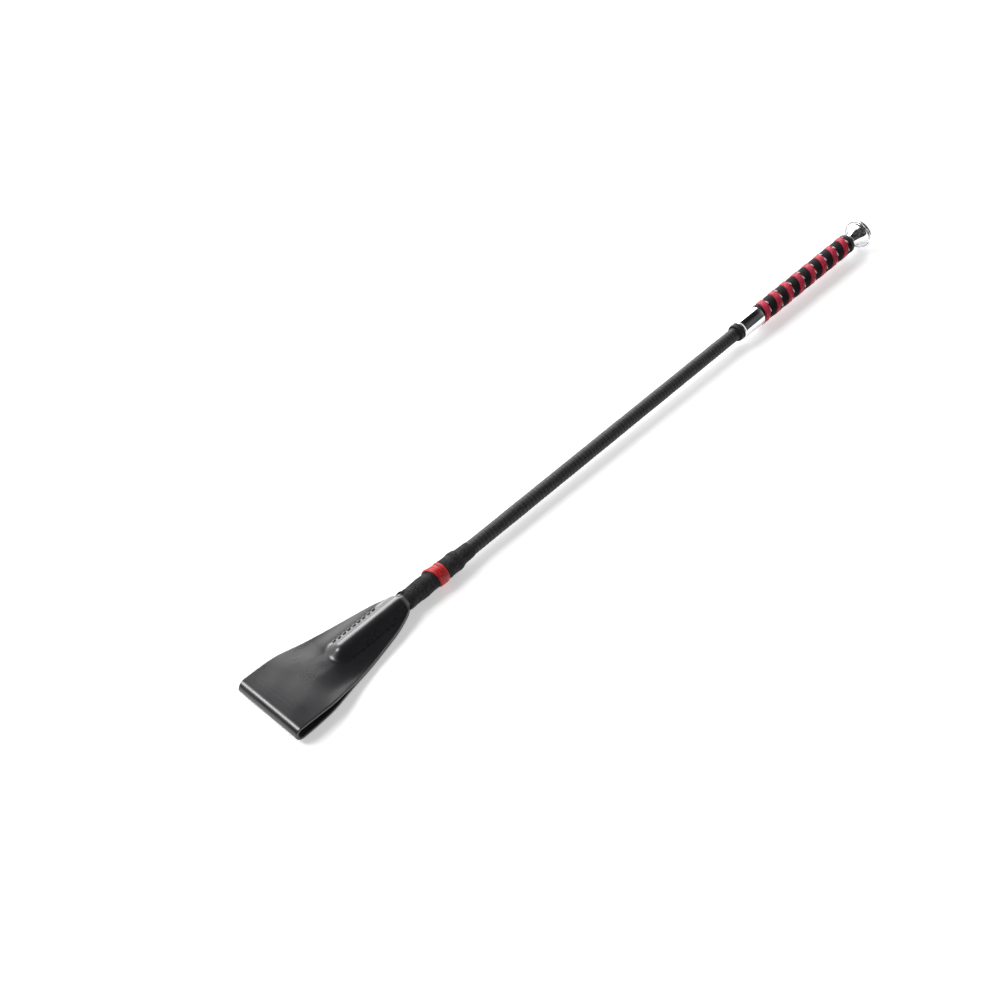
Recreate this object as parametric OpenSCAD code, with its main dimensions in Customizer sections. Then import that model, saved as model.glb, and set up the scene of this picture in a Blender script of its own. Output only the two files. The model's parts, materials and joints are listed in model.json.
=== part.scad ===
// Riding crop: a braid-covered rod with a folded leather keeper at the tip, a strap-wound
// hand grip behind a plated ferrule, and a plated mushroom pommel.
// Millimetres. X runs along the rod towards the pommel, Z is up, and the origin is on the
// rod's axis at the middle of the hand grip. The keeper lies in the XY plane.

/* [Overall] */
// Length from the keeper's fold to the end of the pommel
overall_l = 650; // [600:5:720]

/* [Rod and braid] */
// Diameter of the glass-fibre rod
rod_d = 6.4; // [6:0.1:6.6]
// Diameter over the plastic sheath
sheath_d = 9.0; // [8.8:0.1:9.2]
// Diameter over the textile braid
braid_d = 10.2; // [10:0.1:10.6]
// Length of the soft cap that keeps the rod's end off the leather
tip_cap_l = 9; // [7:0.5:11]

/* [Keeper] */
// Length of the leather keeper
keeper_l = 113; // [105:1:120]
// Width of the keeper across its parallel end
keeper_w = 51; // [46:1:56]
// Width of the leather where it meets the whipping
keeper_neck_w = 13.4; // [13:0.1:15]
// Length over which the keeper's sides run parallel
keeper_parallel_l = 24; // [18:1:30]
// Thickness of one layer of leather
leather_t = 2.0; // [1.8:0.1:2.2]
// Height over the rolled fold at the keeper's tip
fold_h = 11; // [9:0.5:12]
// Length of the free loop, from the fold to where it flexes
tongue_l = 45; // [42:1:48]
// Length of the ridge that the rod raises in the leather
ridge_l = 62; // [58:1:64]
// Largest angle that the loop flexes up or down
flex_angle = 40; // [20:5:45]

/* [Stitching] */
// Stitches in one row
stitch_count = 9; // [7:1:9]
// Distance from one stitch to the next
stitch_pitch = 4.2; // [3.9:0.1:4.3]
// Length of one stitch on the surface
stitch_l = 2.8; // [2.2:0.1:3]

/* [Whipping] */
// Length of the thread whipping behind the keeper
whip_l = 61; // [55:1:70]
// Diameter of the whipping next to the keeper
whip_d = 13.2; // [12.6:0.1:13.4]
// Diameter of the whipping where it steps down to the braid
whip_end_d = 11.2; // [10.8:0.1:11.6]
// Diameter over the coloured thread band
band_d = 14.6; // [14.2:0.1:15]
// Width of the coloured thread band
band_w = 11; // [8:0.5:13]
// Distance from the keeper to the coloured thread band
band_offset = 24; // [20:1:28]

/* [Ferrule] */
// Length of the plated ferrule in front of the grip
ferrule_l = 25; // [22:1:28]
// Diameter of the ferrule
ferrule_d = 15.0; // [14.8:0.1:15.2]
// Diameter of the braid's rolled rim
rim_d = 12.9; // [12.4:0.1:13.4]
// Width of the braid's rolled rim
rim_w = 4; // [3:0.5:5]

/* [Grip] */
// Length of the grip
grip_l = 126; // [115:1:135]
// Diameter over the grip straps
grip_d = 15.6; // [15.4:0.1:16]
// Distance between neighbouring turns of one strap
wind_pitch = 15.45; // [14:0.05:17]
// Width of the coloured strap along the grip
red_w = 5.7; // [4.5:0.1:6.5]
// Diameter of the silver cord between the straps
cord_d = 1.3; // [1:0.1:1.5]
// Width of the band that closes the grip's pommel end
end_band_w = 5; // [4:0.5:6]

/* [Pommel] */
// Largest diameter of the pommel
pommel_d = 25.3; // [24:0.1:27]
// Length of the pommel from the grip to the end of its dome
pommel_l = 27.5; // [26:0.5:30]
// Diameter of the pommel's neck
pommel_neck_d = 10; // [9.5:0.1:10.5]

/* [Hidden] */
$fn = 64;

gap = 0.05;               // assembly clearance on a radius
wall = 0.9;               // wall of the plated shells
tube_r = 6.65;            // outside of the grip tube
tube_bore = 4.95;         // inside of the grip tube
stud_r = 3;               // pommel stud
turn_steps = 32;          // facets in one turn of a strap
wind_phase = 121.6;       // angle from +Y towards +Z at which red_start is measured
red_start = -57.3;        // middle of the coloured strap's first turn at that angle

grip_x0 = -grip_l / 2;
grip_x1 = grip_l / 2;
strap_x1 = grip_x1 - end_band_w;
tube_x1 = grip_x1 - 1.6;
pommel_x1 = grip_x1 + pommel_l;
ferrule_x0 = grip_x0 - ferrule_l;
rim_x0 = ferrule_x0 - rim_w;
fold_x = pommel_x1 - overall_l;
neck_x = fold_x + keeper_l;
hinge_x = fold_x + tongue_l;
ridge_x = neck_x - ridge_l;
whip_x0 = neck_x + gap;
whip_x1 = whip_x0 + whip_l;
band_x0 = neck_x + band_offset;
band_x1 = band_x0 + band_w;
ridge_r = braid_d / 2 + leather_t;
neck_r = keeper_neck_w / 2;
rod_x0 = ridge_x + leather_t + 1;
rod_x1 = grip_x1 - 27;
stitch_y = ridge_r + 1.5;
stitch_x0 = ridge_x + 9;
strap_in = tube_r + 0.07;
strap_out = grip_d / 2;

// A solid of revolution about the rod's axis: points are [x, radius]
module turned(points) {
    rotate([0, 90, 0]) rotate_extrude() polygon([for (p = points) [p[1], p[0]]]);
}

// A plain tube along the rod's axis, from x0 to x1
module tube(x0, x1, r_out, r_in) {
    turned([[x0, r_in], [x1, r_in], [x1, r_out], [x0, r_out]]);
}

// A plain rod along the rod's axis, from x0 to x1
module bar(x0, x1, r) {
    translate([x0, 0, 0]) rotate([0, 90, 0]) cylinder(h = x1 - x0, r = r);
}

// Points on an arc about [cx, cy], from angle a0 to a1
function arc(cx, cy, r, a0, a1, n) =
    [for (i = [0 : n]) let (a = a0 + (a1 - a0) * i / n) [cx + r * cos(a), cy + r * sin(a)]];

// ---- rod ----

module rod_core() {
    color("tan") bar(rod_x0 + 2, rod_x1, rod_d / 2);
}

module rod_sheath() {
    color("dimgray") tube(rod_x0 + 2, grip_x0 + 3, sheath_d / 2, rod_d / 2 + gap);
}

module braid_sleeve() {
    color("black") tube(rod_x0 + tip_cap_l + gap, ferrule_x0 + 6, braid_d / 2, sheath_d / 2 + gap);
}

// The cap is a closed cup over the rod's end
module rod_tip_cap() {
    r = braid_d / 2;
    color("darkslategray") turned([[rod_x0, 0], [rod_x0, r - 1.2], [rod_x0 + 1.2, r],
        [rod_x0 + tip_cap_l, r], [rod_x0 + tip_cap_l, sheath_d / 2 + gap],
        [rod_x0 + 2 - gap, sheath_d / 2 + gap], [rod_x0 + 2 - gap, 0]]);
}

// A soft rolled rim closes the braid in front of the ferrule
module braid_rim() {
    r = rim_w / 2;
    cx = rim_x0 + r;
    bottom = braid_d / 2 + gap;
    top = rim_d / 2 - r * 0.5;
    color("black") turned(concat([[cx + r, bottom], [cx - r, bottom]],
        [for (i = [0 : 8]) let (a = 180 - 180 * i / 8) [cx + r * cos(a), top + r * 0.5 * sin(a)]]));
}

// ---- keeper ----

// Half of the keeper's outline, from the fold to the neck
function outline_half() = concat(
    [[fold_x - 1, 0], [fold_x - 1, keeper_w / 2 - 1.5]],
    arc(fold_x + 3, keeper_w / 2 - 3, 3, 150, 90, 4),
    [[fold_x + keeper_parallel_l, keeper_w / 2]],
    arc(neck_x - 10, neck_r + 0.6, 6, 80, 20, 5),
    [[neck_x, neck_r], [neck_x, 0]]);

module keeper_outline() {
    half = outline_half();
    polygon(concat(half, [for (i = [len(half) - 1 : -1 : 0]) [half[i][0], -half[i][1]]]));
}

module keeper_prism() {
    linear_extrude(height = 4 * ridge_r, center = true) keeper_outline();
}

// Sweeps a side view, drawn as [x, z], across the keeper's width
module across() {
    rotate([90, 0, 0]) linear_extrude(height = keeper_w + 4, center = true) children();
}

// The part of the keeper that is sewn round the rod. A round nose at its front end is the
// pivot that the loop flexes on.
module keeper_collar() {
    color("#2b2b2e") difference() {
        union() {
            intersection() {
                keeper_prism();
                across() union() {
                    translate([hinge_x, -leather_t]) square([neck_x - 1 - hinge_x, 2 * leather_t]);
                    translate([hinge_x, 0]) circle(r = leather_t);
                }
            }
            translate([ridge_x + ridge_r, 0, 0]) sphere(r = ridge_r);
            bar(ridge_x + ridge_r, neck_x - 12, ridge_r);
            translate([neck_x - 12, 0, 0]) rotate([0, 90, 0]) cylinder(h = 12, r1 = ridge_r, r2 = neck_r - 0.3);
        }
        bar(rod_x0 - gap, neck_x + 1, braid_d / 2 + gap);
        stitch_slits(1);
        stitch_slits(-1);
    }
}

// The free loop: one strip of leather folded at the tip, open at both sides
module keeper_tongue() {
    r_out = fold_h / 2;
    r_in = r_out - leather_t;
    cx = fold_x + r_out;
    lean = asin((r_out - leather_t) / (hinge_x - 4 - cx));
    opening = 88 - flex_angle;
    root = leather_t / sin(opening);
    color("#2b2b2e") intersection() {
        keeper_prism();
        across() difference() {
            polygon(concat(
                arc(cx, 0, r_out, 90 - lean, 270 + lean, 24),
                [[hinge_x - 4, -leather_t], [hinge_x - root * cos(opening), -leather_t], [hinge_x, 0],
                 [hinge_x - root * cos(opening), leather_t], [hinge_x - 4, leather_t]]));
            polygon(concat(arc(cx, 0, r_in, 90 - lean, 270 + lean, 24), [[hinge_x - 5, 0]]));
            translate([hinge_x, 0]) circle(r = leather_t + gap);
        }
    }
}

// Awl slits for one row of stitches; side is 1 or -1
module stitch_slits(side) {
    for (i = [0 : stitch_count - 1], end = [0, 1])
        translate([stitch_x0 + i * stitch_pitch + end * (stitch_l - 0.8), side * stitch_y, 0])
            cube([1, 1, 3 * leather_t], center = true);
}

// One row of closed thread loops, each passing through two slits
module stitch_row(side) {
    for (i = [0 : stitch_count - 1])
        translate([stitch_x0 + i * stitch_pitch, side * stitch_y, 0]) {
            for (end = [0, 1])
                translate([end * (stitch_l - 0.8), 0, 0]) cube([0.8, 0.8, 2 * leather_t + 1], center = true);
            for (face = [-1, 1])
                translate([(stitch_l - 0.8) / 2, 0, face * (leather_t + 0.3)]) cube([stitch_l, 0.8, 0.5], center = true);
        }
}

module keeper_stitches_left() {
    color("black") stitch_row(1);
}

module keeper_stitches_right() {
    color("black") stitch_row(-1);
}

// ---- whipping ----

module whipping_lower() {
    r_in = braid_d / 2 + gap;
    r = whip_d / 2;
    color("#1c1c1c") turned([[whip_x0, r_in], [band_x0 - gap, r_in], [band_x0 - gap, r], [whip_x0 + 8, r],
        [whip_x0 + 3, r - 0.5], [whip_x0, r - 0.2]]);
}

module red_band() {
    r_in = braid_d / 2 + gap;
    r = band_d / 2;
    color("crimson") turned([[band_x0, r_in], [band_x1, r_in], [band_x1, r - 0.9], [band_x1 - 1.5, r],
        [band_x0 + 1.5, r], [band_x0, r - 0.9]]);
}

module whipping_upper() {
    r_in = braid_d / 2 + gap;
    r = whip_d / 2;
    r_end = whip_end_d / 2;
    color("#1c1c1c") turned([[band_x1 + gap, r_in], [whip_x1, r_in], [whip_x1, r_end - 0.3],
        [whip_x1 - 4, r_end], [band_x1 + 16, r - 0.3], [band_x1 + gap, r]]);
}

// The thread's loose end lies on top of the whipping beside the leather
module whipping_tail() {
    r = 0.45;
    color("#1c1c1c") translate([neck_x + 1, 1.5, whip_d / 2 + 0.1]) rotate([0, 90, 12]) cylinder(h = 6, r = r);
}

// ---- ferrule ----

module ferrule() {
    r = ferrule_d / 2;
    bore = braid_d / 2 + gap;
    inside = tube_r + gap;
    color("silver") turned([[ferrule_x0 + gap, bore], [ferrule_x0 + 7, bore], [ferrule_x0 + 7, inside],
        [grip_x0 - gap, inside], [grip_x0 - gap, r], [ferrule_x0 + 0.6, r], [ferrule_x0 + gap, r - 0.6]]);
}

// ---- grip ----

module grip_tube() {
    color("gray") tube(grip_x0 - 12, tube_x1, tube_r, tube_bore);
}

module grip_bush_front() {
    color("ivory") tube(grip_x0 + 5, grip_x0 + 25, tube_bore - gap, rod_d / 2 + gap);
}

// The rear bush holds the rod's end and the pommel's stud
module grip_bush_rear() {
    r = tube_bore - gap;
    step = rod_x1 + 1;
    color("ivory") turned([[rod_x1 - 20, rod_d / 2 + gap], [step, rod_d / 2 + gap], [step, stud_r + gap],
        [tube_x1, stud_r + gap], [tube_x1, r], [rod_x1 - 20, r]]);
}

// Middle of the winding at an angle, for a strap whose middle lies shift behind the red one.
// The winding is left-handed: it moves towards the keeper as the angle grows from +Y to +Z.
function wind_x(angle, shift) = red_start + shift - wind_pitch * (angle - wind_phase) / 360;

// Section of a strap between a and b as [x, radius] points, crowned in the middle
function strap_section(a, b) = let (c = min(0.7, (b - a) / 4), t = strap_out - strap_in)
    [[a, strap_in], [a, strap_in + t * 0.6], [a + c, strap_out - 0.12], [(a + b) / 2, strap_out],
     [b - c, strap_out - 0.12], [b, strap_in + t * 0.6], [b, strap_in]];

// A six-sided section for the round cord
function cord_section(x) = let (r = cord_d / 2)
    [for (i = [0 : 5]) [x + r * cos(60 * i), strap_in + r * (1 + sin(60 * i))]];

// Closed skin over a run of equal sections, each a ring of points
module skin(rings) {
    n = len(rings[0]);
    m = len(rings);
    polyhedron(
        points = [for (ring = rings) each ring],
        faces = concat(
            [[for (j = [0 : n - 1]) j]],
            [for (i = [0 : m - 2], j = [0 : n - 1]) let (k = (j + 1) % n) [i * n + j, (i + 1) * n + j, (i + 1) * n + k]],
            [for (i = [0 : m - 2], j = [0 : n - 1]) let (k = (j + 1) % n) [i * n + j, (i + 1) * n + k, i * n + k]],
            [[for (j = [n - 1 : -1 : 0]) (m - 1) * n + j]]),
        convexity = 10);
}

function lift(section, angle) = [for (p = section) [p[0], p[1] * cos(angle), p[1] * sin(angle)]];

// Angles at which a winding of half width h is inside the grip
function wind_steps(shift, h) = let (
    step = 360 / turn_steps,
    last = floor((wind_phase + 360 * (red_start + shift + h - grip_x0 - 0.3) / wind_pitch) / step),
    first = ceil((wind_phase + 360 * (red_start + shift - h - strap_x1 + 0.3) / wind_pitch) / step))
    [for (i = [first : last]) i * step];

// A strap wound over the tube and trimmed flat at both ends
module wound_strap(shift, w) {
    skin([for (angle = wind_steps(shift, w / 2)) let (x = wind_x(angle, shift))
        lift(strap_section(max(x - w / 2, grip_x0 + gap), min(x + w / 2, strap_x1 - gap)), angle)]);
}

module grip_strap_red() {
    color("crimson") wound_strap(0, red_w);
}

module grip_strap_black() {
    black_w = wind_pitch - red_w - cord_d - 3 * gap;
    color("#161616") wound_strap((red_w + black_w) / 2 + cord_d + 2 * gap, black_w);
}

module grip_cord_silver() {
    shift = (red_w + cord_d) / 2 + gap;
    color("silver") skin([for (angle = wind_steps(shift, -cord_d / 2 - 0.4))
        lift(cord_section(wind_x(angle, shift)), angle)]);
}

// A rounded black ring closes the windings and turns in over the tube's end
module grip_end_band() {
    r = grip_d / 2;
    bend = 2.4;
    color("#161616") turned(concat([[strap_x1, tube_r + gap], [tube_x1 + gap, tube_r + gap],
        [tube_x1 + gap, stud_r + 2.2], [grip_x1 - gap, stud_r + 2.2]],
        arc(grip_x1 - gap - bend, r - bend, bend, 0, 90, 6), [[strap_x1 + 0.5, r], [strap_x1, r - 0.5]]));
}

// ---- pommel ----

// Radius of the flare at a fraction f of its length: flat at the neck, steep at the rim
function flare_r(f, r0, r1) = r0 + (r1 - r0) * (1 - sqrt(1 - f * f));

module pommel_flare() {
    x0 = grip_x1;
    x1 = pommel_x1 - pommel_d / 2;
    rim = pommel_d / 2 - wall - gap;
    neck = pommel_neck_d / 2;
    steps = 12;
    outer = [for (i = [0 : steps]) let (f = 0.98 * i / steps) [x0 + 2 + (x1 - x0 - 2) * f, flare_r(f, neck, rim)]];
    inner = [for (i = [steps : -1 : 3]) [outer[i][0] + 1.1, max(outer[i][1] - 0.9, 4.3)]];
    color("silver") turned(concat([[x0, stud_r + gap], [x0, neck]], outer, [[x1 + 1.1, rim], [x1 + 1.1, rim - 0.9]],
        inner, [[inner[len(inner) - 1][0], stud_r + gap]]));
}

module pommel_dome() {
    r = pommel_d / 2;
    x1 = pommel_x1 - r;
    color("silver") turned(concat(
        arc(x1, 0, r, 0, 90, 24), arc(x1, r - wall, wall, 100, 180, 4),
        [[x1 - wall + 0.2, r - wall], [x1, r - wall]], arc(x1, 0, r - wall, 84, 0, 20)));
}

// The stud screws into the rear bush; its head sits inside the flare
module pommel_stud() {
    seat = grip_x1 + 2 + (pommel_x1 - pommel_d / 2 - grip_x1 - 2) * 0.98 * 3 / 12 + 1.1;
    color("gray") {
        bar(rod_x1 + 3, seat + 0.5, stud_r);
        bar(seat + gap, seat + 3, 4.2);
    }
}

rod_core();
rod_sheath();
braid_sleeve();
rod_tip_cap();
keeper_collar();
keeper_tongue();
keeper_stitches_left();
keeper_stitches_right();
whipping_lower();
red_band();
whipping_upper();
whipping_tail();
braid_rim();
ferrule();
grip_tube();
grip_bush_front();
grip_bush_rear();
grip_strap_black();
grip_strap_red();
grip_cord_silver();
grip_end_band();
pommel_flare();
pommel_dome();
pommel_stud();
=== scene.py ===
"""Looks of the riding crop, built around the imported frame. Metres; X runs along the rod to the pommel."""

import json
import math

import bmesh
import bpy
import numpy as np
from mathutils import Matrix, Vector

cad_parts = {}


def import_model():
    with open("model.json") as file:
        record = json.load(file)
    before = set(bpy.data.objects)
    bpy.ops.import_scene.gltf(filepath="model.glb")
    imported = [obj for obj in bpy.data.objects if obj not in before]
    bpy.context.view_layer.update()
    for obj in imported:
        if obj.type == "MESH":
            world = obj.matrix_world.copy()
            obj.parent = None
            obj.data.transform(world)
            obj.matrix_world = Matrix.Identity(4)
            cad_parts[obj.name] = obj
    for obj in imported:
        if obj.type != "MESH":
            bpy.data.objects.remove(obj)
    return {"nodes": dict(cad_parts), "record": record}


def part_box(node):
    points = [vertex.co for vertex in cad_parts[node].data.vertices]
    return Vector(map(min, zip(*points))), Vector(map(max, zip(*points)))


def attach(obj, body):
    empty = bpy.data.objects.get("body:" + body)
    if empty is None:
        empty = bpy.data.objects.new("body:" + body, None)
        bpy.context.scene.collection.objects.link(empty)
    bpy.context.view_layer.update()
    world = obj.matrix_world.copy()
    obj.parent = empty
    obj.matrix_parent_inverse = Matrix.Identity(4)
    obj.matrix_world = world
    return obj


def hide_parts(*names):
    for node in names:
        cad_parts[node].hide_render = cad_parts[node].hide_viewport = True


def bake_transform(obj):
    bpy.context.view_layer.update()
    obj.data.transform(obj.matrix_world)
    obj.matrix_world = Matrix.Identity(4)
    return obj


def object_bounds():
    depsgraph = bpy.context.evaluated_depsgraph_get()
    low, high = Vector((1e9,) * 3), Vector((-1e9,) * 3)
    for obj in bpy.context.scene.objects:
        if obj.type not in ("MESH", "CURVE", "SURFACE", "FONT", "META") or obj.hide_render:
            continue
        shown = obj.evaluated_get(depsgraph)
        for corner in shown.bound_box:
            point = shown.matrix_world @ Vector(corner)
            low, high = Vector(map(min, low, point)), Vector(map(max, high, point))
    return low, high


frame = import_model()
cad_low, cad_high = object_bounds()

MM = 0.001
TAU = 2 * math.pi

# ---------------------------------------------------------------- places taken from the frame


def span(node):
    """First and last x of a CAD node."""
    low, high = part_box(node)
    return low.x, high.x


def radius(node):
    """Outer radius of a CAD node that is round about the rod's axis."""
    low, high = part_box(node)
    return (high.z - low.z) / 2


fold_x = span("keeper_tongue")[0]
neck_x = span("keeper_collar")[1]
rod_x = span("rod_tip_cap")[0]
braid_r = radius("braid_sleeve")
ridge_r = radius("keeper_collar")
leather = ridge_r - braid_r
fold_r = radius("keeper_tongue")
keeper_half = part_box("keeper_tongue")[1].y
tip_x = fold_x - 2 * MM  # the soft leather stands a little proud of the CAD model here
tip_half = keeper_half + 0.7 * MM
whip_r = radius("whipping_lower")
rim_r = radius("braid_rim")
ferrule_r = radius("ferrule")
grip_r = radius("grip_end_band")
tube_r = radius("grip_tube")
pommel_r = radius("pommel_dome")
grip_x0 = span("ferrule")[1]
strap_x1 = span("grip_end_band")[0]
stitch_low, stitch_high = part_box("keeper_stitches_left")
stitch_row = (stitch_low.y + stitch_high.y) / 2
nose_x = rod_x + 5.5 * MM  # where the leather starts to round down over the rod's tip

# ---------------------------------------------------------------- sizes that only the looks have

EDGE = 0.45 * MM  # rounding of the leather's cut edge
LOOP_RUN = 48 * MM  # from the fold to where the two leaves of the loop meet
LOOP_SWELL = 1.35  # more than 1 keeps the leaves close for longer before they open
NOSE_CURVE = 0.92  # less than 1 draws out the leather's round nose along the rod
TAPER = 0.196  # half-width that the keeper gains per length towards its tip
SHOULDER_RUN = 24 * MM  # from the end of that taper to the neck
SHOULDER_HALF = 14.3 * MM
NECK_PINCH = 3.1 * MM
NEAR_HANG = 4 * MM  # how far the keeper's edges drop beside the rod
FAR_HANG = 0.8 * MM
STITCHES = 9
STITCH_PITCH = 4.2 * MM
THREAD = 0.34 * MM  # radius of the black whipping thread
RED_THREAD = 0.24 * MM
CARRIERS = 16  # strands of the braid in each direction
BRAID_LAY = 26 * MM  # length of one turn of a strand
LIP = 1.3 * MM  # length of the ferrule's rolled lip
NECK_R = 5 * MM  # the pommel's neck
SHELL = 1 * MM  # thickness of the pommel's dome
WIND_PITCH = 15.45 * MM  # one turn of the grip's straps
RED_WIDTH = 5.7 * MM
CORD = 1.3 * MM
SEAM = 0.05 * MM  # gap between straps and cord
STRAP_LAY = 1.55 * MM  # one twist of the straps' own cords
CORD_LAY = 6.55 * MM  # one turn of the cord's plies
WIND_PHASE = math.radians(121.6)  # where the red strap's middle is at RED_START
RED_START = -57.3 * MM
TENT_LEVEL = 1.3  # how bright the white tent around the crop is

# ---------------------------------------------------------------- mesh tools


def smoothstep(a, b, v):
    """0 on the a side, 1 on the b side, and a soft ramp between."""
    t = np.clip((v - a) / (b - a), 0, 1)
    return t * t * (3 - 2 * t)


def smooth_max(a, b, k):
    """The larger of a and b, with a round valley of width k where they cross."""
    h = np.clip(0.5 + 0.5 * (a - b) / k, 0, 1)
    return b + (a - b) * h + k * h * (1 - h)


def wobble(v, scale, seed):
    """A smooth random line through v, between about -1 and 1, that repeats on every run."""
    steps = np.random.default_rng(seed).uniform(-1, 1, 64)
    p = (np.asarray(v) / scale) % 63
    i = p.astype(int)
    f = p - i
    f = f * f * (3 - 2 * f)
    return steps[i] * (1 - f) + steps[i + 1] * f


def sheet_faces(n, m, start):
    """Quads over n rings of m points whose first vertex is start."""
    i, j = np.meshgrid(np.arange(n - 1), np.arange(m), indexing="ij")
    k = (j + 1) % m
    quads = np.stack([i * m + j, i * m + k, (i + 1) * m + k, (i + 1) * m + j], -1)
    return quads.reshape(-1, 4) + start


def end_faces(m, start, flip):
    """Closes a ring of m points with a ladder of quads, and a triangle at an odd end."""
    faces = []
    for a in range((m - 1) // 2):
        b = m - 1 - a
        face = [a, a + 1, b - 1, b] if b - 1 > a + 1 else [a, a + 1, b]
        faces.append([start + v for v in (face[::-1] if flip else face)])
    return faces


def build(name, sheets, slot, caps=True):
    """One mesh object from sheets of points, in the material of that slot. Each sheet is rows (n, m, 3),
    with every row a closed ring, and lay (n, m, 2 or 3): the distance along and across the material, which
    weave and grain follow, and a third value that materials use for the flesh side or for painted shade
    in the hollows of thread."""
    points, faces, lays, start = [], [], [], 0
    for rows, lay in sheets:
        n, m = rows.shape[:2]
        points.append(rows.reshape(-1, 3))
        flat = lay.reshape(n * m, -1)
        lays.append(np.pad(flat, ((0, 0), (0, 3 - flat.shape[1]))))
        faces += sheet_faces(n, m, start).tolist()
        if caps:
            faces += end_faces(m, start, False)
            faces += end_faces(m, start + (n - 1) * m, True)
        start += n * m
    mesh = bpy.data.meshes.new(name)
    mesh.from_pydata(np.concatenate(points).tolist(), [], faces)
    attribute = mesh.attributes.new("lay", "FLOAT_VECTOR", "POINT")
    attribute.data.foreach_set("vector", np.concatenate(lays).ravel())
    mesh.polygons.foreach_set("use_smooth", [True] * len(mesh.polygons))
    mesh.validate()
    mesh.update()
    outward(mesh)
    piece = bpy.data.objects.new(name, mesh)
    bpy.context.scene.collection.objects.link(piece)
    mesh.materials.append(MATERIALS[slot])
    return piece


def in_place_of(piece, cad_node):
    """Hides the CAD node that a piece replaces, and fixes the piece to the crop."""
    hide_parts(cad_node)
    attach(piece, "crop")


def outward(mesh):
    """Turns the faces outwards when the mesh came out inside out."""
    mesh.calc_loop_triangles()
    co = np.empty(len(mesh.vertices) * 3)
    mesh.vertices.foreach_get("co", co)
    tri = np.empty(len(mesh.loop_triangles) * 3, int)
    mesh.loop_triangles.foreach_get("vertices", tri)
    a, b, c = (co.reshape(-1, 3)[tri.reshape(-1, 3)[:, k]] for k in range(3))
    if np.einsum("ij,ij->i", a, np.cross(b, c)).sum() < 0:
        mesh.flip_normals()


def lengths(path):
    """Distance along a path at each of its points."""
    return np.concatenate([[0], np.cumsum(np.linalg.norm(np.diff(path, axis=0), axis=1))])


def strand(path, normal, section):
    """A closed tube along path: section (n or 1, m, 2) is in the normal and sideways directions."""
    tangent = np.gradient(path, axis=0)
    tangent /= np.linalg.norm(tangent, axis=1)[:, None]
    side = np.cross(tangent, normal)
    side /= np.linalg.norm(side, axis=1)[:, None]
    up = np.cross(side, tangent)
    section = np.broadcast_to(section, (len(path),) + section.shape[1:])
    rows = path[:, None] + section[..., :1] * up[:, None] + section[..., 1:] * side[:, None]
    along = np.broadcast_to(lengths(path)[:, None], rows.shape[:2])
    girth = 4 * np.abs(section).max()
    across = np.broadcast_to(np.linspace(0, 1, rows.shape[1])[None] * girth, rows.shape[:2])
    return rows, np.stack([along, across], -1)


def on_rod(x, r, angle):
    """Points at a radius about the rod, and outward directions. Angle 0 is +Y, a quarter turn is +Z."""
    x, r, angle = np.broadcast_arrays(x, r, angle)
    out = np.stack([np.zeros_like(angle, float), np.cos(angle), np.sin(angle)], -1)
    return np.stack([x, r * out[..., 1], r * out[..., 2]], -1), out


def spun(path, up, size, twist, sides=8, plies=2):
    """A thread of twisted plies along a path; twist is its lay length."""
    around = np.arange(sides) * TAU / sides
    turn = lengths(path)[:, None] * TAU / twist
    thick = size * (0.86 + 0.14 * np.cos(plies * (around[None] - turn)))
    return strand(path, up, np.stack([thick * np.cos(around), thick * np.sin(around)], -1))


def thread(x, r, angle, size, twist, sides=8, plies=2):
    """A spun thread that follows (x, r, angle) about the rod."""
    path, out = on_rod(x, r, angle)
    return spun(path, out, size, twist, sides, plies)


def lathe(name, profile, slot):
    """A turned piece: profile is a closed loop of (x, radius) points."""
    steps = 192
    profile = np.array(profile)
    angle = np.arange(steps + 1) * TAU / steps
    points, _ = on_rod(profile[:, 0][None], profile[:, 1][None], angle[:, None])
    lay = np.stack(np.broadcast_arrays(angle[:, None] * profile[:, 1].mean(), lengths(profile)[None]), -1)
    return weld(build(name, [(points, lay)], slot, caps=False))


def weld(piece):
    """Joins the seam of a piece whose first and last rows coincide."""
    work = bmesh.new()
    work.from_mesh(piece.data)
    bmesh.ops.remove_doubles(work, verts=work.verts, dist=1e-7)
    work.to_mesh(piece.data)
    work.free()
    piece.data.update()
    return piece


def rounded(points, bend, steps):
    """A closed outline of (x, r) corners with each corner turned into a small curve of size bend."""
    out = []
    for i in range(len(points)):
        before, here, after = (np.array(points[(i + k) % len(points)], float) for k in (-1, 0, 1))
        a = before - here
        b = after - here
        cut = min(bend, np.linalg.norm(a) * 0.45, np.linalg.norm(b) * 0.45)
        p = here + a / np.linalg.norm(a) * cut
        q = here + b / np.linalg.norm(b) * cut
        for t in np.linspace(0, 1, steps):
            out.append(p * (1 - t) ** 2 + 2 * here * t * (1 - t) + q * t * t)
    return out


# ---------------------------------------------------------------- material tools


def node(tree, kind, inputs=None, **settings):
    """Adds a shader node. Each input is a value or another node's output socket."""
    made = tree.nodes.new("ShaderNode" + kind)
    for key, value in settings.items():
        setattr(made, key, value)
    for key, value in (inputs or {}).items():
        if isinstance(value, bpy.types.NodeSocket):
            tree.links.new(value, made.inputs[key])
        else:
            made.inputs[key].default_value = value
    return made


def new_material(name, **inputs):
    """A material and its tree and shader, with the shader's inputs set."""
    material = bpy.data.materials.new(name)
    material.use_nodes = True
    tree = material.node_tree
    shader = tree.nodes["Principled BSDF"]
    for key, value in inputs.items():
        shader.inputs[key.replace("_", " ")].default_value = value
    return material, tree, shader


def lay_vector(tree, along, across):
    """The material's own directions, scaled to features per metre along and across."""
    place = node(tree, "Attribute", attribute_name="lay").outputs["Vector"]
    return node(tree, "VectorMath", {0: place, 1: (along, across, 1)}, operation="MULTIPLY").outputs[0]


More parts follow.
